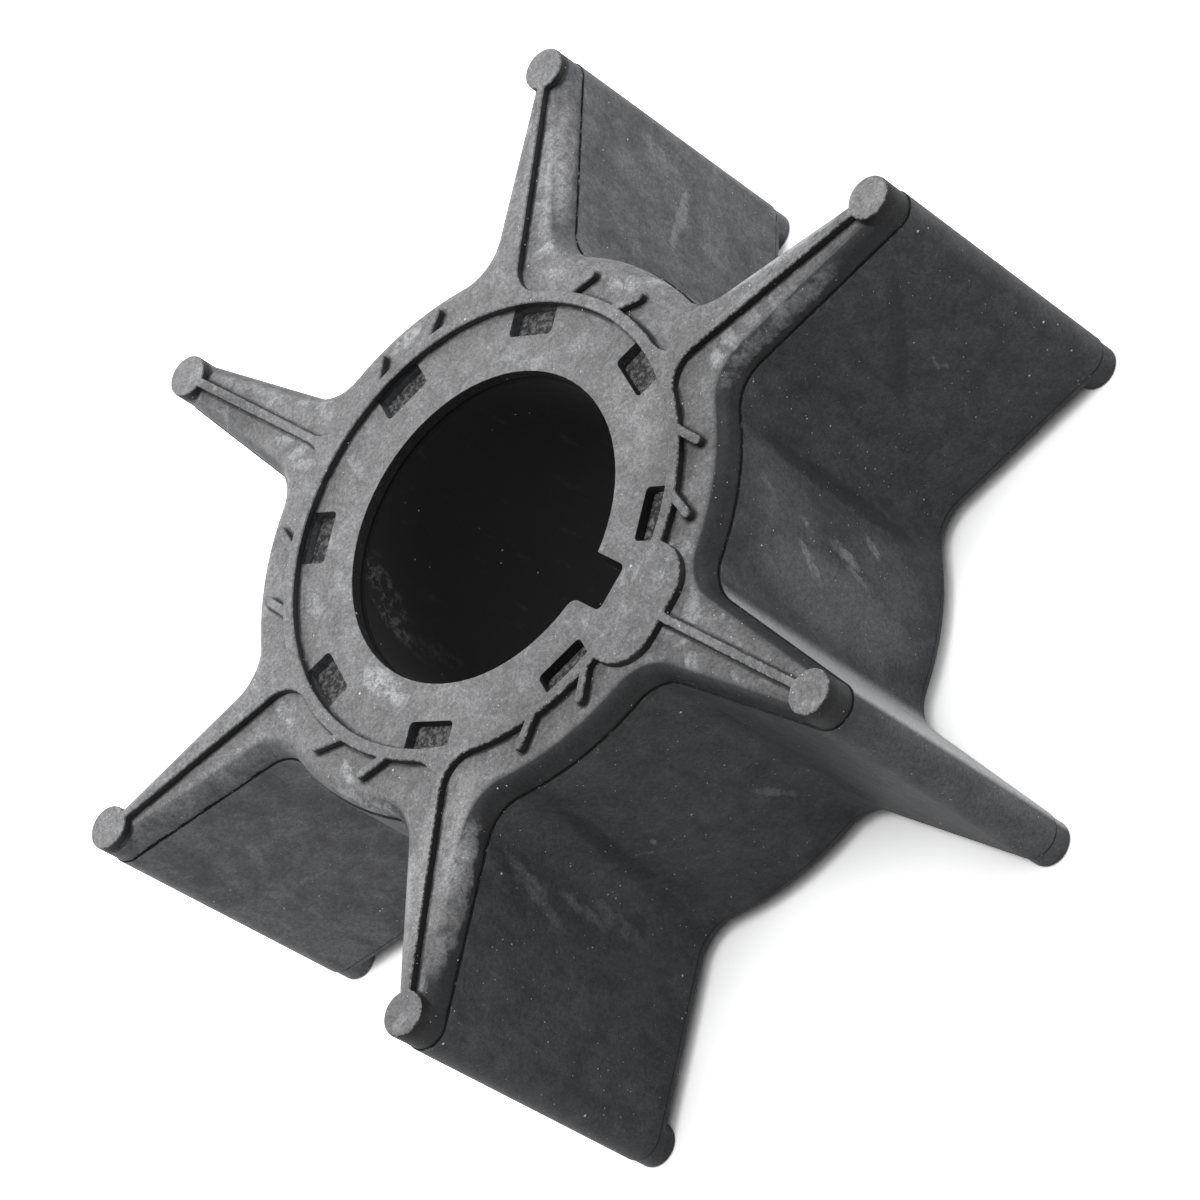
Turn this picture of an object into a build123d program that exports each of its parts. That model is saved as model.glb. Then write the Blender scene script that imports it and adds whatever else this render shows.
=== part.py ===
from build123d import *
import os
from math import atan2, cos, degrees, radians, sin, tan

# Rubber pump impeller: one moulded rubber body with six straight blades, and the keyed sleeve
# that the rubber is moulded round. Millimetres. The bore axis is Z. The impeller stands on its
# back face at Z = 0, and the front face, which has the slanting barbs, looks up. The keyway is on +X.

# Whole impeller
length = 23.6             # back face to front face, over the raised sealing lines
tip_circle_r = 31.0       # circle through the centres of the tip beads
blade_count = 6

# Blades and hub between the mould's two parting lines
bead_r = 1.5              # rounded bead along each blade's tip
blade_flank_r = 5.0       # circle about the axis that the blades' flanks are tangent to
hub_r = 18.2
root_fillet = 2.8         # between a blade's flank and the hub

# Ends beyond the parting lines
front_parting = 2.2       # depth of the front parting line below the front face
back_parting = 1.6        # height of the back parting line above the back face
parting_step = 0.12       # how far the ends stand inside the middle
front_shoulder = 1.2      # rounding from the flanks to the front
back_shoulder = 0.9       # rounding from the flanks to the back
bead_end_r = 1.42         # beads beyond the parting lines

# Raised sealing lines on both ends
relief = 0.55             # their height
ring_in_r = 14.4
ring_w = 0.8
rib_w = 0.6               # rib along the middle of each blade's edge
rib_flare = 2.2           # fillet from a rib into the ring

# Pad in the ring behind the keyway, over the keyed blade's root
pad_half_w = 3.9
pad_out = 17.8            # distance from the axis to the pad's outer side
pad_corner = 2.6

# Barbs on the front, two in each gap between blades
barb_w = 0.6
barb_tip_r = 16.45        # centre of a barb's rounded end
barb_root_angles = (13.2, -3.2)   # from the middle of the gap
barb_swing = 5.7          # how far round a barb's end lies from its root

# Keyed sleeve and its bore
bore_r = 10.0
keyway_w = 2.8
keyway_floor = 12.4       # distance from the axis to the keyway's floor
sleeve_r = 15.2
bore_edge = 0.3           # chamfer at the bore's ends
end_skin = 0.8            # rubber over each end of the sleeve
skin_gap = 0.1            # how far the end skins stand back from the bore and the keyway
skin_shift = 0.2          # how far the front skin's keyway lies to the +Y side of the sleeve's
skin_corner = 0.4         # rounding of the end skins' keyway corners
worn_corner = 0.7         # rounding where one wall of the front skin's keyway meets the bore

# Pockets through the end skins, left by the mould's pins that held the sleeve
pocket_count = 8
pocket_w = 3.4
pocket_in_r = 12.5
pocket_corner = 0.3

ring_out_r = ring_in_r + ring_w
ring_mid_r = ring_in_r + ring_w / 2
front_level = length - relief         # face that the front's sealing lines stand on
back_level = relief
front_split = length - front_parting
back_split = back_parting
sleeve_top = front_level - end_skin
sleeve_bottom = back_level + end_skin
gap_angle = 360 / blade_count


def at_radius(shape, radius):
    """Corners of a sketch that lie at one distance from the axis."""
    return shape.vertices().filter_by(lambda corner: abs(Vector(corner).length - radius) < 0.01)


def body_outline(inset):
    """Hub and blades in plan, with filleted blade roots, drawn inset from the full size."""
    with BuildSketch() as blade:
        Circle(blade_flank_r - inset)
        with Locations((tip_circle_r, 0)):
            Circle(bead_r - inset)
        make_hull()
    with BuildSketch() as outline:
        Circle(hub_r - inset)
        with PolarLocations(0, blade_count):
            add(blade.sketch)
        fillet(at_radius(outline, hub_r - inset), root_fillet + inset)
    return outline.sketch


def shouldered_end(depth, shoulder):
    """Rubber beyond a parting line, with its outer edge rounded over by three bands in turn."""
    first_cut = shoulder * (2 - 2 * cos(radians(45)))
    next_cut = shoulder * (tan(radians(22.5)) - tan(radians(11.25)))
    with BuildPart() as end:
        with BuildSketch():
            add(body_outline(parting_step))
        extrude(amount=depth)
        chamfer(end.faces().sort_by(Axis.Z)[-1].edges(), first_cut)
        upper = end.faces().sort_by(Axis.Z)[-1].edges()
        lower = end.edges().filter_by(
            lambda edge: abs(edge.center().Z - depth + first_cut) < 0.01)
        chamfer(upper + lower, next_cut)
    return end.part


def sealing_lines():
    """Ring and ribs in plan. Each rib flares into the ring, except the one that meets the pad."""
    rib_length = tip_circle_r - ring_mid_r
    rib_middle = ring_mid_r + rib_length / 2
    with BuildSketch() as lines:
        Circle(ring_out_r)
        with PolarLocations(rib_middle, blade_count - 1, gap_angle, 360 - gap_angle):
            Rectangle(rib_length, rib_w)
        fillet(at_radius(lines, ring_out_r), rib_flare)
        with Locations((rib_middle, 0)):
            Rectangle(rib_length, rib_w)
        Circle(ring_in_r, mode=Mode.SUBTRACT)
    return lines.sketch


def keyway_pad():
    """Pad in plan: a rounded bulge of the ring over the keyed blade's root."""
    with BuildSketch() as pad:
        with Locations((pad_out / 2, 0)):
            Rectangle(pad_out, 2 * pad_half_w)
        fillet(pad.vertices().group_by(Axis.X)[-1], pad_corner)
        Circle(ring_in_r, mode=Mode.SUBTRACT)
    return pad.sketch


def barbs():
    """Barbs in plan: short ribs with round ends, which swing out from the ring."""
    with BuildSketch() as hooks:
        for gap in range(blade_count):
            for root_angle in barb_root_angles:
                root_turn = radians((gap + 0.5) * gap_angle + root_angle)
                tip_turn = root_turn - radians(barb_swing)
                root = Vector(ring_mid_r * cos(root_turn), ring_mid_r * sin(root_turn))
                tip = Vector(barb_tip_r * cos(tip_turn), barb_tip_r * sin(tip_turn))
                run = tip - root
                with Locations((root + tip) / 2):
                    SlotCenterToCenter(run.length, barb_w, degrees(atan2(run.Y, run.X)))
    return hooks.sketch


def skin_opening(corner, shift):
    """Opening of an end skin in plan: the bore and keyway, with one keyway edge rounded off."""
    opening_r = bore_r + skin_gap
    with BuildSketch() as opening:
        with Locations(((keyway_floor + skin_gap) / 2, shift)):
            Rectangle(keyway_floor + skin_gap, keyway_w + 2 * skin_gap)
        fillet(opening.vertices().group_by(Axis.X)[-1], skin_corner)
        Circle(opening_r)
        if corner > 0:
            fillet(at_radius(opening, opening_r).sort_by(Axis.Y)[0], corner)
    return opening.sketch


def pockets():
    """Pockets in plan, with their outer sides on the ring's inner wall."""
    radial = ring_out_r - pocket_in_r
    with BuildSketch() as cells:
        with PolarLocations(pocket_in_r + radial / 2, pocket_count, 180 / pocket_count):
            Rectangle(radial, pocket_w)
        inner = cells.vertices().filter_by(lambda corner: Vector(corner).length < ring_in_r)
        fillet(inner, pocket_corner)
        Circle(ring_in_r, mode=Mode.INTERSECT)
    return cells.sketch


# Sleeve before its bore and keyway: the rubber's cavity has the same form
with BuildPart() as sleeve_blank:
    with BuildSketch(Plane.XY.offset(sleeve_bottom)):
        Circle(sleeve_r)
    extrude(amount=sleeve_top - sleeve_bottom)

with BuildPart() as hub_insert:
    add(sleeve_blank.part)
    with BuildSketch(Plane.XY.offset(sleeve_bottom)):
        Circle(bore_r)
    extrude(amount=sleeve_top - sleeve_bottom, mode=Mode.SUBTRACT)
    mouths = hub_insert.edges().filter_by(GeomType.CIRCLE).filter_by(
        lambda edge: abs(edge.radius - bore_r) < 0.01)
    chamfer(mouths, bore_edge)
    with BuildSketch(Plane.XY.offset(sleeve_bottom)):
        with Locations((keyway_floor / 2, 0)):
            Rectangle(keyway_floor, keyway_w)
    extrude(amount=sleeve_top - sleeve_bottom, mode=Mode.SUBTRACT)

with BuildPart() as rubber_body:
    # Hub and blades between the parting lines
    with BuildSketch(Plane.XY.offset(back_split)):
        add(body_outline(0))
    extrude(amount=front_split - back_split)

    # Rounded ends beyond them, and the beads, which run on to the two faces
    with Locations((0, 0, front_split)):
        add(shouldered_end(front_level - front_split, front_shoulder))
    with Locations((0, 0, back_split)):
        add(shouldered_end(back_split - back_level, back_shoulder), rotation=(180, 0, 0))
    with BuildSketch():
        with PolarLocations(tip_circle_r, blade_count):
            Circle(bead_end_r)
    extrude(amount=length)

    # Sealing lines on both faces, pads from the parting lines up, and the front's barbs
    for level in (0, front_level):
        with BuildSketch(Plane.XY.offset(level)):
            add(sealing_lines())
        extrude(amount=relief)
    with BuildSketch(Plane.XY.offset(front_split)):
        add(keyway_pad())
    extrude(amount=front_parting)
    with BuildSketch():
        add(keyway_pad())
    extrude(amount=back_parting)
    with BuildSketch(Plane.XY.offset(front_level)):
        add(barbs())
    extrude(amount=relief)

    # Room for the sleeve, and the openings and pockets through the skins over its ends
    add(sleeve_blank.part, mode=Mode.SUBTRACT)
    with BuildSketch(Plane.XY.offset(sleeve_top)):
        add(skin_opening(worn_corner, skin_shift))
    extrude(amount=end_skin + relief, mode=Mode.SUBTRACT)
    with BuildSketch():
        add(skin_opening(0, 0))
    extrude(amount=sleeve_bottom, mode=Mode.SUBTRACT)
    with BuildSketch(Plane.XY.offset(sleeve_top)):
        add(pockets())
    extrude(amount=end_skin, mode=Mode.SUBTRACT)
    with BuildSketch(Plane.XY.offset(back_level)):
        add(pockets())
    extrude(amount=end_skin, mode=Mode.SUBTRACT)

os.makedirs("parts", exist_ok=True)
rubber_body.part.label = "rubber_body"
export_step(rubber_body.part, "parts/rubber_body.step")
hub_insert.part.label = "hub_insert"
export_step(hub_insert.part, "parts/hub_insert.step")
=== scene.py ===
import math

import bmesh
import bpy
from mathutils import Matrix, Vector


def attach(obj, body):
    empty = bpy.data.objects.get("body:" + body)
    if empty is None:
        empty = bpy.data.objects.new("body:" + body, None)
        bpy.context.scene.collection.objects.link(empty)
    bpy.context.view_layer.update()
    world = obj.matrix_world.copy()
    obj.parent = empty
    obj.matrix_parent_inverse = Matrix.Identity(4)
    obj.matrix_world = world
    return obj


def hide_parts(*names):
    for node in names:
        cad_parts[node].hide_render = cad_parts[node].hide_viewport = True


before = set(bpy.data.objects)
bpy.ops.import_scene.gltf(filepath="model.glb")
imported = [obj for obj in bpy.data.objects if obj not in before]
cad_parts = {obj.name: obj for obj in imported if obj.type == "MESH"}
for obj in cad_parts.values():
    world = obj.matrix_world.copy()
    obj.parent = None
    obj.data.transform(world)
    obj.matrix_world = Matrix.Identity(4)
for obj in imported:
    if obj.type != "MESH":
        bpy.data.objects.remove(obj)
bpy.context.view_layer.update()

MM = 0.001

# Sizes of the solids that the looks follow, in millimetres
FRONT_SPLIT = 21.4      # heights of the two parting lines
BACK_SPLIT = 1.6
FRONT_LEVEL = 23.05     # face that the front's raised lines stand on
LENGTH = 23.6
TIP_CIRCLE_R = 31.0     # circle through the centres of the tip beads
BEAD_R = 1.5
BEAD_END_R = 1.42       # beads beyond the parting lines
RING_MID_R = 14.8
RING_OUT_R = 15.2
LINE_HALF_W = 0.3       # ribs and barbs
SKIN_KEYWAY_R = 12.5    # keyway's floor in the skins over the sleeve's ends
SLEEVE_KEYWAY_R = 12.4
POCKET_IN_R = 12.5
SECTOR = math.radians(60)

# Softening of the moulded edges: width in millimetres and steps
FACE_EDGE = (0.12, 3)
OTHER_EDGE = (0.06, 2)
CORNER_ANGLE = math.radians(40)     # sharper edges are softened
SMOOTH_ANGLE = math.radians(38)     # blunter edges are shaded smooth

# Colours, as linear red, green and blue
FLANK = (0.044, 0.046, 0.0495)
FLANK_LAMP_SIDE = (0.108, 0.111, 0.119)
FLANK_RUBBED_AND_SHADED = (0.018, 0.018, 0.019)
FLANK_SHEEN = (0.40, 0.405, 0.42)
FLANK_SCUFF_AND_HIGHLIGHT = (0.23, 0.24, 0.255)
END = (0.115, 0.115, 0.117)
END_PALER_MINUS_X = (0.206, 0.206, 0.210)
END_CLOUD = (0.255, 0.255, 0.263)
END_PALE = (0.36, 0.36, 0.365)
END_DULL = (0.055, 0.055, 0.056)
POWDER = (0.40, 0.405, 0.42)
SHOULDER_SHADE = (0.012, 0.012, 0.013)
PIT = (0.02, 0.02, 0.02)
LINE_WALL_SHADE = (0.008, 0.008, 0.008)
FOOT_SHADE_AND_DIRT = (0.012, 0.012, 0.012)
EDGE_WEAR_AND_HIGHLIGHT = (0.22, 0.22, 0.225)
SPLIT_LIP_HIGHLIGHT = (0.11, 0.112, 0.118)
SPLIT_LINE = (0.006, 0.006, 0.006)
DUST = (0.72, 0.72, 0.73)
BORE = (0.027, 0.027, 0.0275)
BORE_WORN = (0.060, 0.060, 0.062)
BORE_SMEAR = (0.13, 0.13, 0.135)
KEYWAY_LEDGE_SHADE = (0.004, 0.004, 0.004)
RUBBLE = (0.050, 0.050, 0.050)
RUBBLE_PALE = (0.23, 0.23, 0.235)
BORE_DUST = (0.45, 0.45, 0.46)
PAPER = (0.86, 0.86, 0.86)
PAPER_SEEN = (1.95, 1.95, 1.95)     # over-exposed, as in the photo

# Long soft spots on the surface: both ends, half width (mm) and strength.
# White bloom on the front
BLOOM = (
    ((10.3, 15.2, 23.1), (11.7, 14.3, 22.7), 0.52, 0.75),
    ((9.9, 16.5, 23.1), (11.8, 15.8, 22.8), 0.46, 0.65),
    ((10.5, 17.8, 23.0), (12.5, 18.0, 22.9), 0.58, 0.35),
    ((9.7, 19.8, 23.0), (12.5, 24.0, 23.0), 0.50, 0.50),
    ((-2.3, -11.0, 23.1), (1.4, -11.2, 23.1), 0.80, 1.00),
    ((-20.5, -1.0, 23.0), (-18.6, 0.1, 23.0), 0.43, 0.90),
    ((-18.5, -1.5, 23.0), (-17.7, -0.3, 23.0), 0.43, 0.90),
    ((-17.4, -1.7, 23.0), (-16.6, -1.2, 23.0), 0.43, 0.70),
    ((-23.2, 0.4, 23.0), (-22.7, 1.6, 23.0), 0.38, 0.60),
    ((-20.6, 1.8, 23.0), (-19.5, 2.2, 22.9), 0.31, 0.90),
    ((-18.9, 2.1, 23.0), (-17.1, 1.6, 23.0), 0.37, 0.60),
    ((-14.9, 7.3, 23.0), (-14.2, 8.8, 23.0), 0.55, 1.00),
    ((-7.8, 16.2, 23.0), (-7.2, 17.1, 23.0), 0.48, 1.00),
    ((-13.0, 23.8, 23.0), (-8.6, 17.6, 23.0), 0.60, 0.90),
    ((8.5, 18.6, 22.9), (13.4, 25.3, 22.9), 0.42, 0.90),
    ((-11.6, 21.0, 23.0), (-9.3, 16.5, 23.0), 0.37, 0.40),
    ((-4.1, 9.6, 23.0), (-2.7, 10.3, 23.0), 0.48, 0.50),
    ((-13.5, -0.1, 23.0), (-12.1, -0.3, 23.0), 0.49, 0.50),
    ((0.0, -16.3, 23.0), (1.2, -16.9, 23.0), 0.30, 0.80),
    ((-0.5, -17.8, 22.6), (5.4, -17.2, 22.5), 0.41, 0.55),
    ((-8.0, -15.2, 23.0), (-6.1, -15.9, 23.0), 0.48, 0.80),
    ((9.0, -19.0, 23.0), (11.9, -23.2, 23.0), 0.42, 0.50),
    ((11.0, -17.7, 23.0), (13.0, -18.8, 22.8), 0.52, 0.50),
    ((-0.7, 16.5, 23.0), (4.0, 17.7, 21.6), 0.70, 0.70),
    ((-10.2, -8.7, 23.0), (-8.7, -9.2, 23.0), 0.48, 0.60),
    ((-0.4, -13.4, 23.0), (0.2, -12.5, 23.0), 0.12, 0.70),
    ((-5.6, 17.1, 22.0), (0.2, 18.0, 21.7), 0.45, 1.00),
    ((0.2, 18.0, 21.7), (7.0, 16.6, 21.8), 0.45, 1.00),
    ((-6.0, -17.1, 22.0), (0.0, -18.0, 21.8), 0.36, 0.80),
    ((0.0, -18.0, 21.8), (6.0, -17.0, 21.8), 0.36, 0.80),
)
# Pale scuffs on the flanks, with painted highlights among them, such as the long one on the keyed
# blade's upper flank
SCUFFS_AND_HIGHLIGHTS = (
    ((-12.9, 25.9, 10.6), (-9.6, 21.4, 12.2), 0.46, 0.80),
    ((-10.7, 22.9, 9.4), (-10.7, 22.8, 5.7), 0.57, 0.35),
    ((16.3, 8.2, 15.4), (16.8, 7.0, 13.9), 0.29, 0.80),
    ((16.6, 7.5, 14.0), (17.0, 6.4, 12.6), 0.23, 0.80),
    ((15.7, 9.2, 12.2), (15.9, 8.8, 9.9), 0.42, 0.80),
    ((14.7, 10.7, 9.3), (15.1, 10.1, 8.2), 0.36, 0.75),
    ((16.1, 8.5, 10.8), (16.4, 7.9, 8.8), 0.28, 0.65),
    ((15.5, 9.5, 15.7), (15.8, 9.1, 14.5), 0.23, 0.70),
    ((14.9, 10.4, 19.7), (15.6, 9.4, 18.1), 0.29, 0.35),
    ((18.4, 3.4, 21.1), (29.2, 1.7, 18.7), 0.30, 1.00),
    ((12.4, -15.9, 20.0), (13.4, -18.2, 14.1), 0.58, 0.35),
    ((12.4, -16.0, 11.1), (12.8, -16.9, 6.9), 0.59, 0.25),
    ((12.6, -16.4, 14.5), (12.9, -17.0, 10.7), 0.45, 0.35),
    ((13.1, -12.7, 11.3), (14.0, -11.6, 11.0), 0.24, 0.50),
    ((14.5, -11.0, 12.2), (13.9, -11.7, 11.2), 0.22, 0.60),
    ((17.2, -5.8, 9.5), (17.8, -4.5, 6.5), 0.30, 0.35),
    ((-13.7, 26.9, 15.4), (-12.9, 25.8, 11.6), 0.46, 0.60),
    ((-11.3, -23.7, 16.5), (-11.7, -24.2, 14.5), 0.40, 0.40),
    ((-11.7, -24.2, 11.0), (-10.6, -22.7, 10.6), 0.30, 0.30),
    ((14.8, 21.5, 11.9), (14.9, 21.8, 10.5), 0.20, 0.60),
)
# Wide, thin painted sheen and light on the flanks
PAINTED_SHEEN = (
    ((32.4, 0.0, 20.0), (32.4, 0.0, 2.0), 1.60, 0.08),
    ((32.4, 0.0, 9.0), (32.4, 0.0, 1.0), 1.60, 0.13),
    ((17.0, 6.5, 17.0), (17.2, 6.0, 5.0), 2.40, 0.18),
    ((14.2, 11.2, 20.0), (16.6, 7.6, 14.0), 2.20, 0.08),
    ((15.3, 9.8, 8.5), (15.9, 8.8, 4.5), 2.00, 0.09),
)
# Dark streaks on the flanks: rub marks, and painted shade in two blades' root fillets
RUBS_AND_FILLET_SHADE = (
    ((15.9, 24.0, 19.1), (13.6, 18.8, 11.0), 0.59, 0.70),
    ((14.8, 21.6, 17.0), (13.5, 18.5, 10.5), 0.59, 0.50),
    ((13.4, 12.3, 20.9), (13.6, 12.0, 3.7), 0.80, 0.85),
    ((13.6, -12.1, 20.4), (12.4, -14.2, 3.4), 0.75, 0.80),
)
# Shoulders over which the front's grey runs down
GREY_SHOULDERS = (
    ((-6.5, 16.6, 22.4), (0.3, 17.8, 22.4), 1.00, 0.90),
    ((-0.3, 17.8, 22.4), (6.8, 16.6, 22.4), 1.00, 1.00),
    ((-6.5, -16.6, 22.4), (0.3, -17.8, 22.4), 1.00, 0.80),
    ((-0.3, -17.8, 22.4), (5.0, -17.2, 22.4), 0.90, 0.80),
    ((12.0, -15.8, 22.7), (15.0, -23.8, 22.7), 0.95, 0.90),
    ((11.8, 13.8, 22.8), (14.9, 22.2, 22.7), 0.90, 0.70),
    ((-13.4, 26.2, 22.5), (-8.2, 19.0, 22.5), 0.95, 0.90),
)
# Paler and duller places on the front
PALE = (
    ((9.5, -14.0, 23.0), (12.6, -23.5, 23.0), 2.20, 0.55),
    ((-12.3, 23.4, 23.0), (-9.0, 18.4, 22.9), 1.80, 0.28),
    ((-12.7, 24.4, 22.9), (-8.6, 19.2, 22.8), 0.75, 0.70),
    ((3.8, -10.4, 23.0), (6.8, -10.1, 23.0), 1.80, 0.25),
    ((-15.0, 26.3, 23.6), (-16.0, 27.3, 23.6), 1.40, 0.20),
    ((30.5, 0.0, 23.6), (31.5, 0.0, 23.6), 1.40, 0.15),
    ((-30.5, 0.0, 23.6), (-31.5, 0.0, 23.6), 1.40, 0.15),
    ((5.5, 11.5, 23.0), (8.5, 8.5, 23.0), 2.20, 0.28),
    ((15.0, 26.3, 23.6), (16.0, 27.3, 23.6), 1.40, 0.40),
    ((-15.0, -26.3, 23.6), (-16.0, -27.3, 23.6), 1.40, 0.20),
)
DULL = (
    ((-29.0, -0.5, 23.0), (-23.5, -0.5, 23.0), 1.60, 0.50),
    ((19.0, -1.6, 23.0), (28.0, -1.0, 23.0), 1.40, 0.35),
    ((19.0, 2.2, 23.0), (28.0, 1.6, 23.0), 1.20, 0.25),
)
# Smears in the bore
BORE_SCUFFS = (
    ((-8.5, -5.3, 21.6), (-7.6, -6.5, 19.0), 1.10, 0.90),
    ((-7.4, -6.8, 20.6), (-6.2, -7.9, 18.4), 1.00, 0.90),
    ((-6.3, -7.8, 17.6), (-6.6, -7.5, 13.5), 0.90, 0.25),
)

# Raised lines on the front, with painted shade and grime at their feet: both ends and half width.
# The first two lie in a blade's sector, and the barbs in the sector of a gap between blades.
BLADE_LINES = (
    ((15.4, 0, FRONT_LEVEL), (30.0, 0, FRONT_LEVEL), LINE_HALF_W),
    ((TIP_CIRCLE_R, 0, FRONT_LEVEL - 0.05), (TIP_CIRCLE_R, 0, FRONT_LEVEL + 0.05), BEAD_END_R),
)
GAP_LINES = (
    ((14.41, 3.38, FRONT_LEVEL), (16.31, 2.15, FRONT_LEVEL), LINE_HALF_W),
    ((14.78, -0.83, FRONT_LEVEL), (16.25, -2.55, FRONT_LEVEL), LINE_HALF_W),
)

# Name, place, size (metres) and power (watts) of each lamp
LAMPS = (
    ("back_softbox", (-0.65, 0.0, 0.30), (0.6, 0.35), 2.2),
    ("top_softbox", (0.0, 0.0, 0.75), (0.5, 0.5), 3.4),
    ("fill_softbox", (0.35, 0.0, 0.65), (0.4, 0.4), 0.9),
    ("left_softbox", (-0.45, -0.5, 0.35), (0.45, 0.45), 1.2),
    ("right_softbox", (0.05, 0.7, 0.27), (0.5, 0.4), 2.2),
)
LAMP_TARGET = (0, 0, 0.012)
WORLD_LIGHT = 0.06

# The photograph's camera
CAMERA_PLACE = (0.236508, -0.013817, 0.232154)
CAMERA_RIGHT = (0.60774, 0.49496, -0.62101)
CAMERA_UP = (-0.31067, 0.86787, 0.38768)
CAMERA_LENS = 159.85


# ---------------------------------------------------------------- node helper
class Graph:
    """Builds one material's nodes. Values are sockets or plain numbers; places are millimetres."""

    def __init__(self, name):
        self.material = bpy.data.materials.new(name)
        self.material.use_nodes = True
        self.tree = self.material.node_tree
        self.tree.nodes.clear()
        self.output = self.add("OutputMaterial")
        self.coords = self.add("TexCoord")
        self.mm = self.scaled(self.coords.outputs["Object"], 1000.0)
        self.normal = self.add("SeparateXYZ", Vector=self.coords.outputs["Normal"])
        self.place = self.add("SeparateXYZ", Vector=self.mm)

    def add(self, kind, settings=None, **inputs):
        node = self.tree.nodes.new("ShaderNode" + kind)
        for key, value in (settings or {}).items():
            setattr(node, key, value)
        for key, value in inputs.items():
            self.put(node.inputs[key.replace("_", " ")], value)
        return node

    def put(self, socket, value):
        if isinstance(value, bpy.types.NodeSocket):
            self.tree.links.new(value, socket)
        else:
            socket.default_value = value

    def math(self, operation, a, b=0.0, c=0.0):
        node = self.add("Math", {"operation": operation})
        for socket, value in zip(node.inputs, (a, b, c)):
            self.put(socket, value)
        return node.outputs[0]

    def product(self, first, *others):
        for other in others:
            first = self.math("MULTIPLY", first, other)
        return first

    def most(self, first, *others):
        for other in others:
            first = self.math("MAXIMUM", first, other)
        return first

    def vector(self, operation, a, b=None):
        node = self.add("VectorMath", {"operation": operation})
        self.put(node.inputs[0], a)
        if b is not None:
            self.put(node.inputs[1], b)
        return node.outputs["Value" if operation in ("LENGTH", "DOT_PRODUCT") else "Vector"]

    def scaled(self, vector, scale):
        node = self.add("VectorMath", {"operation": "SCALE"})
        self.put(node.inputs[0], vector)
        self.put(node.inputs["Scale"], scale)
        return node.outputs["Vector"]

    def ramp(self, value, low, high, to_low=0.0, to_high=1.0, smooth=True):
        node = self.add("MapRange", {"interpolation_type": "SMOOTHSTEP" if smooth else "LINEAR"})
        for key, v in (("Value", value), ("From Min", low), ("From Max", high),
                       ("To Min", to_low), ("To Max", to_high)):
            self.put(node.inputs[key], v)
        return node.outputs["Result"]

    def noise(self, scale, detail, roughness, vector=None, distortion=0.0):
        node = self.add("TexNoise", Vector=vector or self.mm, Scale=scale, Detail=detail,
                        Roughness=roughness, Distortion=distortion)
        return node.outputs["Fac"]

    def stretched(self, sx, sy, sz):
        return self.vector("MULTIPLY", self.mm, (sx, sy, sz))

    def across(self):
        """Distance from the axis."""
        return self.vector("LENGTH", self.vector("MULTIPLY", self.mm, (1, 1, 0)))

    def mix(self, factor, a, b):
        """A colour between a and b. The node has inputs for every type, so these go by index."""
        colour_a, colour_b, colour_result = 6, 7, 2
        node = self.add("Mix", {"data_type": "RGBA"})
        self.put(node.inputs["Factor"], factor)
        for index, colour in ((colour_a, a), (colour_b, b)):
            self.put(node.inputs[index], (*colour, 1) if isinstance(colour, tuple) else colour)
        return node.outputs[colour_result]

    def bump(self, height, strength, distance):
        node = self.add("Bump", Height=height, Strength=strength, Distance=distance * MM)
        return node.outputs["Normal"]

    def smudges(self, rows, place):
        """The strongest of some long soft spots at one place, 0 to 1."""
        spots = []
        for start, end, half_width, strength in rows:
            start, end = Vector(start), Vector(end)
            run = end - start
            squeeze = math.sqrt(1 - (half_width / (run.length / 2 + half_width)) ** 2)
            away = self.vector("SUBTRACT", place, (start + end) / 2)
            along = self.vector("DOT_PRODUCT", away, run.normalized() * squeeze)
            size = self.math("SUBTRACT", self.vector("DOT_PRODUCT", away, away),
                             self.product(along, along))
            spots.append(self.ramp(size, 1.32 * half_width ** 2, 0.30 * half_width ** 2,
                                   0.0, strength))
        return self.most(*spots)

    def line_distance(self, place, start, end):
        """Distance from a place to the straight line between two points."""
        start, end = Vector(start), Vector(end)
        run = end - start
        turned = self.add("Mapping", {"vector_type": "TEXTURE"}, Vector=place)
        turned.inputs["Location"].default_value = (start + end) / 2
        turned.inputs["Rotation"].default_value = run.to_track_quat("X", "Z").to_euler()
        parts = self.add("SeparateXYZ", Vector=turned.outputs["Vector"])
        past = self.math("SUBTRACT", self.math("ABSOLUTE", parts.outputs["X"]), run.length / 2)
        offset = self.add("CombineXYZ", X=self.most(past, 0.0),
                          Y=parts.outputs["Y"], Z=parts.outputs["Z"])
        return self.vector("LENGTH", offset.outputs[0])

    def folded(self, turn):
        """The place turned into the sector round +X, from sectors whose middles lie at turn."""
        x, y, z = (self.place.outputs[axis] for axis in "XYZ")
        angle = self.math("SUBTRACT", self.math("ARCTAN2", y, x), turn)
        sector = self.math("ROUND", self.math("DIVIDE", angle, SECTOR))
        angle = self.math("SUBTRACT", angle, self.product(sector, SECTOR))
        radius = self.across()
        spot = self.add("CombineXYZ", X=self.product(radius, self.math("COSINE", angle)),
                        Y=self.product(radius, self.math("SINE", angle)), Z=z)
        return spot.outputs[0]

    def band(self, low, high, soft):
        """1 between two heights."""
        height = self.place.outputs["Z"]
        return self.product(self.ramp(height, low - soft, low),
                            self.ramp(height, high + soft, high))

    def specks(self, scale, share, size):
        """Small round grains: 1 inside one, 0 elsewhere. scale is cells per millimetre."""
        cells = self.add("TexVoronoi", Vector=self.mm, Scale=scale)
        shade = self.add("SeparateColor", Color=cells.outputs["Color"])
        chosen = self.math("GREATER_THAN", shade.outputs[0], 1.0 - share)
        radius = self.math("MULTIPLY_ADD", shade.outputs[1], size * scale, size * scale * 0.5)
        return self.product(chosen, self.math("LESS_THAN", cells.outputs["Distance"], radius))

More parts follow.
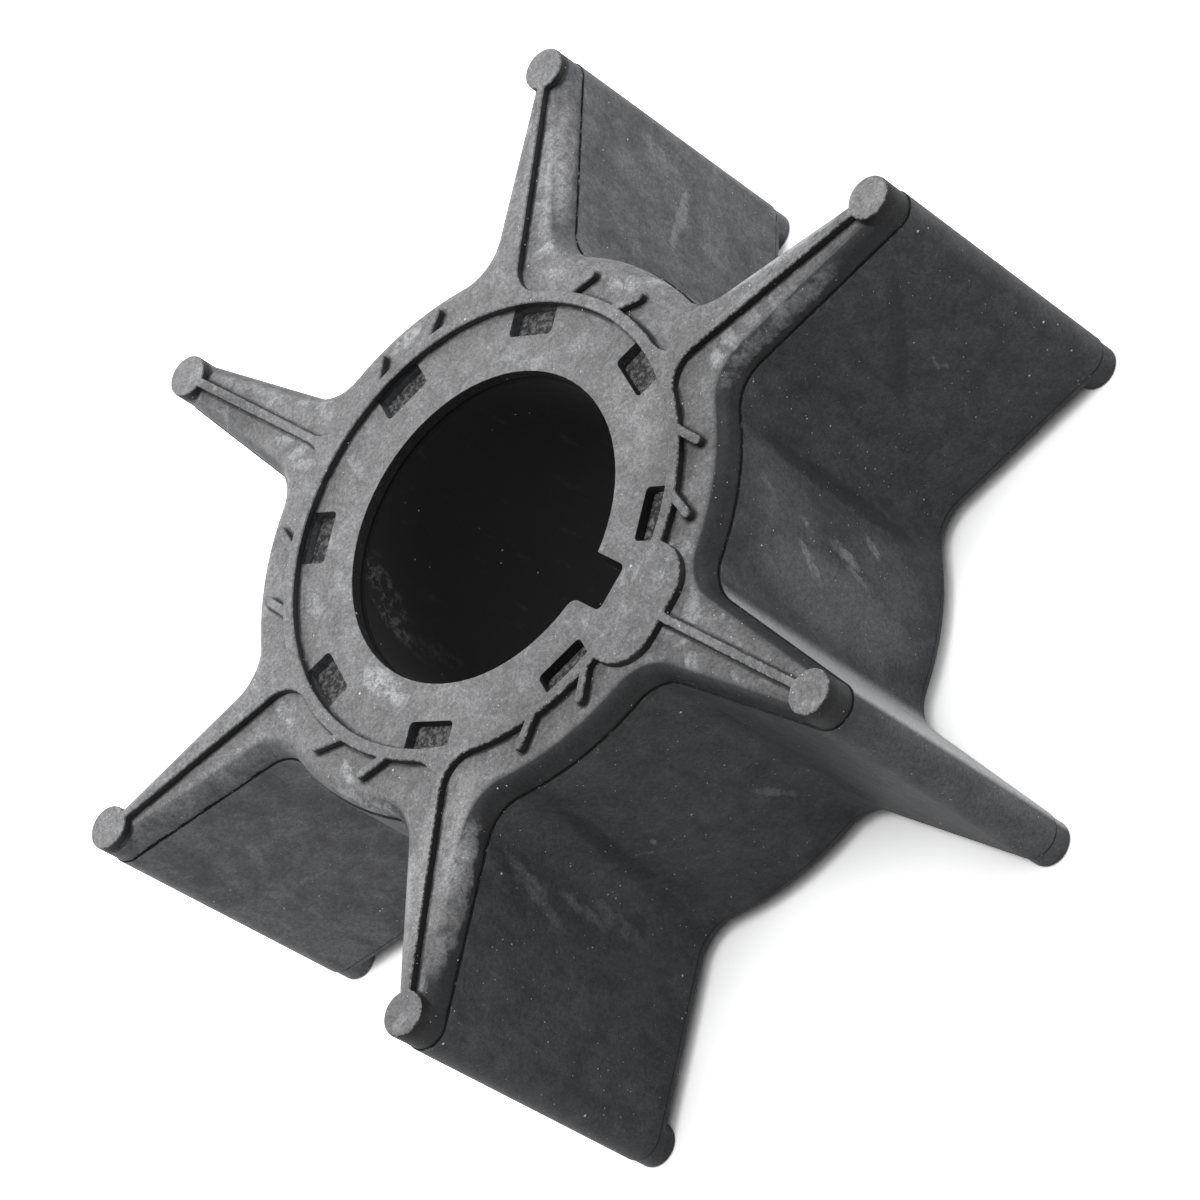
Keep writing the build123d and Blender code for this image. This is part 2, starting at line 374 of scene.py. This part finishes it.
    def finish(self, colour, roughness, normal, specular):
        shader = self.add("BsdfPrincipled", Base_Color=colour, Roughness=roughness, Normal=normal)
        shader.inputs["Specular IOR Level"].default_value = specular
        self.put(self.output.inputs["Surface"], shader.outputs["BSDF"])
        return self.material


# ---------------------------------------------------------------- rubber's material
class Rubber(Graph):
    """Dark, slightly blue flanks, and grey, powdery ends with painted shade and grime round their
    raised lines; light is painted on the side toward the lamps and shade on the side away.
    """

    def __init__(self):
        super().__init__("moulded_rubber")
        self.x, self.y, self.height = (self.place.outputs[axis] for axis in "XYZ")
        self.up = self.normal.outputs["Z"]
        self.cloud = self.noise(0.11, 3.0, 0.6)
        self.patch = self.noise(0.55, 5.0, 0.66, distortion=0.5)
        self.stain = self.noise(0.9, 6.0, 0.72, distortion=0.8)
        self.grain = self.noise(3.6, 4.0, 0.78)
        self.fine = self.noise(9.0, 2.0, 0.6)
        shift = self.add("TexNoise", Vector=self.mm, Scale=0.9, Detail=4.0, Roughness=0.7)
        shift = self.vector("SUBTRACT", shift.outputs["Color"], (0.5, 0.5, 0.5))
        self.wobble = self.vector("ADD", self.mm, self.scaled(shift, 1.5))

    def ends(self):
        """1 on the two ends, 0 on the flanks. The front's grey runs over some shoulders. Painted
        light: the ends lean toward the lamps, so shoulders that face them take the front's paler
        grey.
        """
        toward_lamps = self.vector("DOT_PRODUCT", self.coords.outputs["Normal"], (-0.28, 0.04, 0.959))
        ends = self.most(self.ramp(toward_lamps, 0.68, 0.965), self.ramp(self.up, -0.60, -0.97))
        # Listed shoulders take the front's grey.
        grey_shoulders = self.product(self.smudges(GREY_SHOULDERS, self.wobble),
                            self.ramp(self.height, FRONT_SPLIT - 0.1, FRONT_SPLIT + 0.1),
                            self.ramp(self.stain, 0.36, 0.50, 0.55, 1.0))
        return self.most(ends, grey_shoulders)

    def flank_colour(self):
        streak = self.noise(1.0, 4.0, 0.62, vector=self.stretched(0.7, 0.7, 0.35), distortion=0.6)
        # Painted light: the flanks are paler toward −X, the side of the main lamps.
        colour = self.mix(self.ramp(self.x, 9.0, -8.0), FLANK, FLANK_LAMP_SIDE)
        colour = self.scaled(colour, self.ramp(streak, 0.36, 0.66, 0.84, 1.28, smooth=False))
        colour = self.scaled(colour, self.ramp(self.patch, 0.36, 0.66, 0.80, 1.35, smooth=False))
        # Rub marks and painted shade: darker streaks on one blade's flank and in two blades' root
        # fillets.
        colour = self.mix(self.product(self.smudges(RUBS_AND_FILLET_SHADE, self.wobble), 0.8), colour, FLANK_RUBBED_AND_SHADED)
        # Painted highlight: the keyed blade's flank that faces +Y is made pale just below the
        # front parting line.
        keyed_blade_highlight = self.product(self.ramp(self.normal.outputs["Y"], 0.72, 0.95),
                                   self.ramp(self.x, 17.0, 20.0),
                                   self.ramp(self.height, FRONT_SPLIT, FRONT_SPLIT - 0.2))
        # Painted sheen and light: wide pale spots on the flanks, taken together with the keyed
        # blade's highlight.
        sheen_mask = self.most(self.smudges(PAINTED_SHEEN, self.wobble), keyed_blade_highlight)
        colour = self.mix(sheen_mask, colour, FLANK_SHEEN)
        # Pale scuffs, with some painted highlights among them.
        scuff_and_highlight = self.product(self.smudges(SCUFFS_AND_HIGHLIGHTS, self.wobble),
                             self.ramp(self.patch, 0.38, 0.52, 0.35, 1.0))
        return self.mix(scuff_and_highlight, colour, FLANK_SCUFF_AND_HIGHLIGHT)

    def end_colour(self):
        # The ends are paler toward −X.
        colour = self.mix(self.ramp(self.x, 26.0, -12.0), END, END_PALER_MINUS_X)
        colour = self.mix(self.ramp(self.cloud, 0.36, 0.64, 0.0, 0.35), colour, END_CLOUD)
        colour = self.mix(self.smudges(PALE, self.wobble), colour, END_PALE)
        colour = self.mix(self.smudges(DULL, self.wobble), colour, END_DULL)
        colour = self.scaled(colour, self.ramp(self.stain, 0.34, 0.66, 0.74, 1.26, smooth=False))
        powder = self.product(self.ramp(self.patch, 0.52, 0.68),
                              self.ramp(self.cloud, 0.42, 0.62, 0.15, 0.6))
        bloom = self.product(self.smudges(BLOOM, self.wobble),
                             self.ramp(self.stain, 0.42, 0.52, 0.25, 1.0))
        return self.mix(self.most(powder, bloom), colour, POWDER)

    def with_shaded_shoulders(self, colour, ends):
        """Painted shade: darkens the shoulders beyond the front parting line on the keyway's side,
        the side turned from the main lamps.
        """
        shoulder_shade = self.product(self.ramp(ends, 0.5, 0.0),
                                self.ramp(self.height, FRONT_SPLIT - 0.02, FRONT_SPLIT),
                                self.ramp(self.x, -2.0, 7.0), 0.74)
        return self.mix(shoulder_shade, colour, SHOULDER_SHADE)

    def pits(self):
        cells = self.add("TexVoronoi", Vector=self.wobble, Scale=2.6)
        return self.product(self.ramp(cells.outputs["Distance"], 0.20, 0.10),
                            self.ramp(self.noise(0.7, 2.0, 0.5), 0.60, 0.70))

    def with_raised_lines(self, colour):
        """Painted shade on the walls, painted shade with grime along the feet of the raised lines,
        and top edges paler from wear and a painted highlight.
        """
        radius = self.across()
        # Painted shade: the walls of the raised lines, and the rubber's walls round the bore and
        # keyway, made near black.
        wall = self.most(self.ramp(self.height, FRONT_LEVEL - 0.01, FRONT_LEVEL + 0.05),
                         self.ramp(radius, SKIN_KEYWAY_R + 0.15, SKIN_KEYWAY_R + 0.05))
        wall = self.product(wall, self.ramp(self.math("ABSOLUTE", self.up), 0.55, 0.25), 0.85)
        colour = self.mix(wall, colour, LINE_WALL_SHADE)

        # Painted shade with grime: a dark band along the feet of the raised lines.
        from_ring = self.math("ABSOLUTE", self.math("SUBTRACT", radius, RING_MID_R))
        ring_half_w = RING_OUT_R - RING_MID_R
        feet = [self.ramp(from_ring, ring_half_w + 0.30, ring_half_w + 0.06)]
        for turn, lines in ((0, BLADE_LINES), (SECTOR / 2, GAP_LINES)):
            spot = self.folded(turn)
            for start, end, half_w in lines:
                away = self.line_distance(spot, start, end)
                feet.append(self.ramp(away, half_w + 0.28, half_w + 0.06))
        foot_shade_and_dirt = self.product(self.most(*feet),
                            self.ramp(self.height, FRONT_LEVEL + 0.25, FRONT_LEVEL + 0.10),
                            self.ramp(self.height, FRONT_LEVEL - 0.35, FRONT_LEVEL - 0.15),
                            self.ramp(self.patch, 0.36, 0.56, 0.45, 0.9))
        colour = self.mix(foot_shade_and_dirt, colour, FOOT_SHADE_AND_DIRT)

        # Wear and painted highlight: the bevels on the top edges made paler.
        edge_wear_and_highlight = self.product(self.ramp(self.height, LENGTH - 0.30, LENGTH - 0.18),
                              self.ramp(self.up, 0.30, 0.70), self.ramp(self.up, 0.985, 0.90),
                              self.ramp(self.grain, 0.44, 0.62))
        return self.mix(edge_wear_and_highlight, colour, EDGE_WEAR_AND_HIGHLIGHT)

    def with_parting_lines(self, colour):
        """Black lines; the front one is of uneven width, with a thin paler lip below it that is a
        painted highlight.
        """
        above = self.math("SUBTRACT", self.height, FRONT_SPLIT)
        wander = self.ramp(self.noise(2.2, 3.0, 0.6), 0.35, 0.65, -0.03, 0.03, smooth=False)
        above = self.math("ADD", above, wander)
        width = self.ramp(self.noise(0.8, 4.0, 0.7), 0.46, 0.64, 0.03, 0.16)
        thin = self.product(self.ramp(self.x, 11.0, 6.0), self.ramp(self.y, 5.0, 12.0))
        width = self.product(width, self.ramp(thin, 0.0, 1.0, 1.0, 0.25, smooth=False))
        line = self.product(self.ramp(above, -0.04, -0.02),
                            self.ramp(self.math("SUBTRACT", above, width), 0.03, 0.0))
        line = self.most(line, self.band(BACK_SPLIT - 0.16, BACK_SPLIT + 0.03, 0.02))
        # Painted highlight on the lip below the front parting line.
        lip = self.product(self.band(FRONT_SPLIT - 0.11, FRONT_SPLIT - 0.03, 0.03),
                           self.ramp(self.patch, 0.48, 0.60, 0.0, 0.6))
        return self.mix(line, self.mix(lip, colour, SPLIT_LIP_HIGHLIGHT), SPLIT_LINE)

    def speckled(self, colour):
        """Fine mottling and white dust."""
        mottle = self.product(self.ramp(self.grain, 0.25, 0.75, 0.52, 1.48, smooth=False),
                              self.ramp(self.fine, 0.25, 0.75, 0.70, 1.30, smooth=False))
        dust = self.most(self.specks(1.0, 0.085, 0.060), self.specks(2.3, 0.105, 0.034),
                         self.specks(4.5, 0.090, 0.022))
        return self.mix(dust, self.scaled(colour, mottle), DUST)

    def build(self):
        ends = self.ends()
        pits = self.pits()
        colour = self.mix(ends, self.flank_colour(), self.end_colour())
        colour = self.with_shaded_shoulders(colour, ends)
        colour = self.mix(self.product(pits, 0.55), colour, PIT)
        colour = self.with_raised_lines(colour)
        colour = self.with_parting_lines(colour)
        colour = self.speckled(colour)
        relief = self.math("ADD", self.product(self.grain, 0.6), self.product(self.fine, 0.4))
        relief = self.math("SUBTRACT", relief, pits)
        roughness = self.ramp(ends, 0.0, 1.0, 0.50, 0.55, smooth=False)
        return self.finish(colour, roughness, self.bump(relief, 0.7, 0.06), 0.2)


# ---------------------------------------------------------------- sleeve's material
def sleeve_material():
    """A nearly black bore with some smears, and rough rubble where the pockets bare the end."""
    g = Graph("sleeve_plastic")
    across = g.across()
    up = g.normal.outputs["Z"]
    gritty = g.product(g.ramp(g.math("ABSOLUTE", up), 0.8, 0.95),
                       g.ramp(across, POCKET_IN_R - 0.3, POCKET_IN_R - 0.1))

    streak = g.noise(1.0, 5.0, 0.65, vector=g.stretched(1.0, 1.0, 0.35))
    wall = g.mix(g.ramp(streak, 0.58, 0.74, 0.0, 0.5), BORE, BORE_WORN)
    patch = g.noise(1.8, 5.0, 0.7, distortion=0.6)
    smear = g.product(g.smudges(BORE_SCUFFS, g.mm), g.ramp(patch, 0.47, 0.60))
    wall = g.mix(smear, wall, BORE_SMEAR)
    # Painted shade: the ledge in the sleeve's keyway made near black.
    ledge_shade = g.product(g.ramp(up, 0.4, 0.8),
                      g.ramp(across, SLEEVE_KEYWAY_R - 0.05, SLEEVE_KEYWAY_R - 0.15))
    wall = g.mix(ledge_shade, wall, KEYWAY_LEDGE_SHADE)

    lumps = g.noise(3.4, 4.0, 0.7)
    rubble = g.mix(g.ramp(lumps, 0.42, 0.64), RUBBLE, RUBBLE_PALE)
    colour = g.mix(gritty, wall, rubble)
    colour = g.mix(g.specks(1.6, 0.10, 0.05), colour, BORE_DUST)

    relief = g.math("ADD", g.product(g.noise(6.0, 3.0, 0.6), 0.15), g.product(lumps, gritty))
    roughness = g.most(g.ramp(gritty, 0.0, 1.0, 0.62, 0.40, smooth=False), ledge_shade)
    return g.finish(colour, roughness, g.bump(relief, 0.8, 0.25), 0.12)


# ---------------------------------------------------------------- rubber's shape
def round_out_beads(work, radius):
    """Halves the chords round the beads and moves the new corners out to the circle."""
    def centre_near(co):
        turn = round(math.atan2(co.y, co.x) / SECTOR) * SECTOR
        return Vector((math.cos(turn), math.sin(turn), 0)) * TIP_CIRCLE_R * MM

    def on_circle(vertex):
        away = vertex.co - centre_near(vertex.co)
        return abs(math.hypot(away.x, away.y) - radius * MM) < 0.004 * MM

    chords = [edge for edge in work.edges
              if all(on_circle(vertex) for vertex in edge.verts)
              and abs(edge.verts[0].co.z - edge.verts[1].co.z) < 0.01 * MM
              and edge.calc_length() > 0.15 * MM]
    made = bmesh.ops.subdivide_edges(work, edges=chords, cuts=1, use_grid_fill=True)
    for item in made["geom_inner"]:
        if isinstance(item, bmesh.types.BMVert):
            centre = centre_near(item.co)
            away = item.co - centre
            away.z = 0
            if abs(away.length - radius * MM) < 0.05 * MM:
                away.length = radius * MM
                item.co = Vector((centre.x + away.x, centre.y + away.y, item.co.z))


def corners(work, test):
    """Sharp edges whose ends' heights in millimetres pass the test."""
    return [edge for edge in work.edges if len(edge.link_faces) == 2
            and edge.calc_face_angle(0) > CORNER_ANGLE
            and test([vertex.co.z / MM for vertex in edge.verts])]


def at_level(levels, heights):
    return any(all(abs(z - level) < 0.02 for z in heights) for level in levels)


def soften(work, edges, width, steps):
    bmesh.ops.bevel(work, geom=edges, offset=width * MM, offset_type="OFFSET", segments=steps,
                    profile=0.5, affect="EDGES", clamp_overlap=False)


def rubber_piece(node):
    """The rubber body with rounder beads and its moulded edges softened."""
    work = bmesh.new()
    work.from_mesh(node.data)
    bmesh.ops.remove_doubles(work, verts=work.verts, dist=2e-7)
    bmesh.ops.dissolve_limit(work, angle_limit=math.radians(0.3), verts=work.verts,
                             edges=work.edges, delimit=set())
    for radius in (BEAD_END_R, BEAD_R):
        round_out_beads(work, radius)
    faces, splits = (0, LENGTH), (FRONT_SPLIT, BACK_SPLIT)
    soften(work, corners(work, lambda heights: at_level(faces, heights)), *FACE_EDGE)
    soften(work, corners(work, lambda heights: not at_level(splits, heights)), *OTHER_EDGE)
    for edge in work.edges:
        edge.smooth = edge.calc_face_angle(0) < SMOOTH_ANGLE
    mesh = bpy.data.meshes.new("rubber")
    work.to_mesh(mesh)
    work.free()
    piece = bpy.data.objects.new("rubber", mesh)
    bpy.context.scene.collection.objects.link(piece)
    for face in mesh.polygons:
        face.use_smooth = True
    weighted = piece.modifiers.new("even_shading", "WEIGHTED_NORMAL")
    weighted.keep_sharp = True
    weighted.weight = 50
    return piece


rubber = rubber_piece(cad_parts["rubber_body"])
rubber.data.materials.append(Rubber().build())
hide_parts("rubber_body")
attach(rubber, "root")

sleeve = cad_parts["hub_insert"]
sleeve.data.materials.clear()
sleeve.data.materials.append(sleeve_material())


# ---------------------------------------------------------------- stage
def floor_material():
    """Paper that looks over-exposed to the camera, and plain white in reflections."""
    g = Graph("studio_floor")
    path = g.add("LightPath")
    reflected = g.most(path.outputs["Is Glossy Ray"], path.outputs["Is Transmission Ray"])
    seen = g.most(path.outputs["Is Camera Ray"], g.product(reflected, 0.27))
    paper = g.add("BsdfDiffuse", Color=g.mix(seen, PAPER, PAPER_SEEN))
    g.put(g.output.inputs["Surface"], paper.outputs[0])
    return g.material


def floor_piece():
    size = 3.0
    mesh = bpy.data.meshes.new("floor")
    mesh.from_pydata([(-size, -size, 0), (size, -size, 0), (size, size, 0), (-size, size, 0)],
                     [], [(0, 1, 2, 3)])
    mesh.materials.append(floor_material())
    floor = bpy.data.objects.new("floor", mesh)
    floor.location.z = -0.02 * MM       # just clear of the back face
    bpy.context.scene.collection.objects.link(floor)
    return floor


def area_light(name, place, size, power):
    light = bpy.data.lights.new(name, "AREA")
    light.shape = "RECTANGLE"
    light.size, light.size_y = size
    light.energy = power
    lamp = bpy.data.objects.new(name, light)
    lamp.location = place
    lamp.rotation_mode = "QUATERNION"
    lamp.rotation_quaternion = (Vector(LAMP_TARGET) - Vector(place)).to_track_quat("-Z", "Y")
    bpy.context.scene.collection.objects.link(lamp)


def studio_world():
    """A dim even light, which looks white to the camera and in reflections."""
    world = bpy.data.worlds.new("studio")
    world.use_nodes = True
    tree = world.node_tree
    back = tree.nodes["Background"]
    back.inputs["Color"].default_value = (1, 1, 1, 1)
    path = tree.nodes.new("ShaderNodeLightPath")
    seen = path.outputs["Is Camera Ray"]
    for ray in ("Is Glossy Ray", "Is Transmission Ray"):
        either = tree.nodes.new("ShaderNodeMath")
        either.operation = "MAXIMUM"
        tree.links.new(seen, either.inputs[0])
        tree.links.new(path.outputs[ray], either.inputs[1])
        seen = either.outputs[0]
    level = tree.nodes.new("ShaderNodeMapRange")
    level.inputs["To Min"].default_value = WORLD_LIGHT
    level.inputs["To Max"].default_value = 1.0
    tree.links.new(seen, level.inputs["Value"])
    tree.links.new(level.outputs["Result"], back.inputs["Strength"])
    return world


def photo_camera():
    right, up = Vector(CAMERA_RIGHT), Vector(CAMERA_UP)
    back = right.cross(up).normalized()
    up = back.cross(right).normalized()
    lens = bpy.data.cameras.new("camera")
    lens.sensor_width = 36.0
    lens.lens = CAMERA_LENS
    lens.clip_start, lens.clip_end = 0.02, 20.0
    camera = bpy.data.objects.new("camera", lens)
    turn = Matrix((right.normalized(), up, back)).transposed()
    camera.matrix_world = Matrix.Translation(CAMERA_PLACE) @ turn.to_4x4()
    bpy.context.scene.collection.objects.link(camera)
    return camera


floor_piece()
for lamp_row in LAMPS:
    area_light(*lamp_row)
bpy.context.scene.world = studio_world()
bpy.context.scene.camera = photo_camera()
bpy.context.scene.view_settings.view_transform = "Standard"
